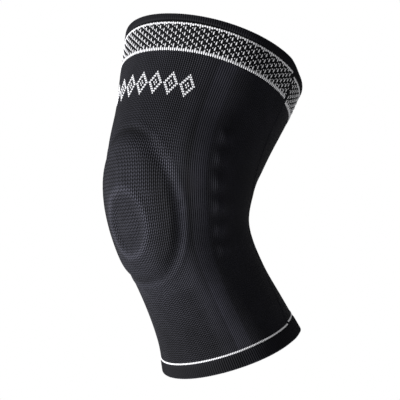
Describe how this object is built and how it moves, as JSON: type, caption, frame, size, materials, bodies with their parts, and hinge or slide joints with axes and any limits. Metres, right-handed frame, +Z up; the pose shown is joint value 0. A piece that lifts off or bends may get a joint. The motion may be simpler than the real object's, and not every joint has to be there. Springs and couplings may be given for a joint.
{
  "type": "knee sleeve",
  "caption": "Pull-on knitted knee sleeve with a raised gel ring round the kneecap, side stays and a patterned grip band at the thigh.",
  "frame": {"origin": "middle of the tube's centre line, inside the knee, where the leg carries the sleeve", "axes": "+Z up towards the thigh, -Y out of the front of the knee, +X out of the outer side of the leg"},
  "size_m": [0.1648, 0.1857, 0.31],
  "materials": {
    "black_knit": "matt black compression knit",
    "white_knit": "white knitted stripe",
    "grip_knit": "black jacquard knit with short white stitches",
    "gel": "soft satin silicone gel",
    "stay_plastic": "springy dark plastic strip"
  },
  "bodies": {
    "root": {"thigh_hem": "black_knit", "upper_stripe": "white_knit", "grip_band": "grip_knit", "lower_stripe": "white_knit", "thigh_tube": "black_knit", "kneecap_panel": "black_knit", "knee_back_panel": "black_knit", "calf_tube": "black_knit", "calf_stripe": "white_knit", "calf_hem": "black_knit", "patella_pad": "gel", "outer_stay": "stay_plastic", "inner_stay": "stay_plastic", "outer_stay_pocket": "black_knit", "inner_stay_pocket": "black_knit"}
  },
  "joints": []
}
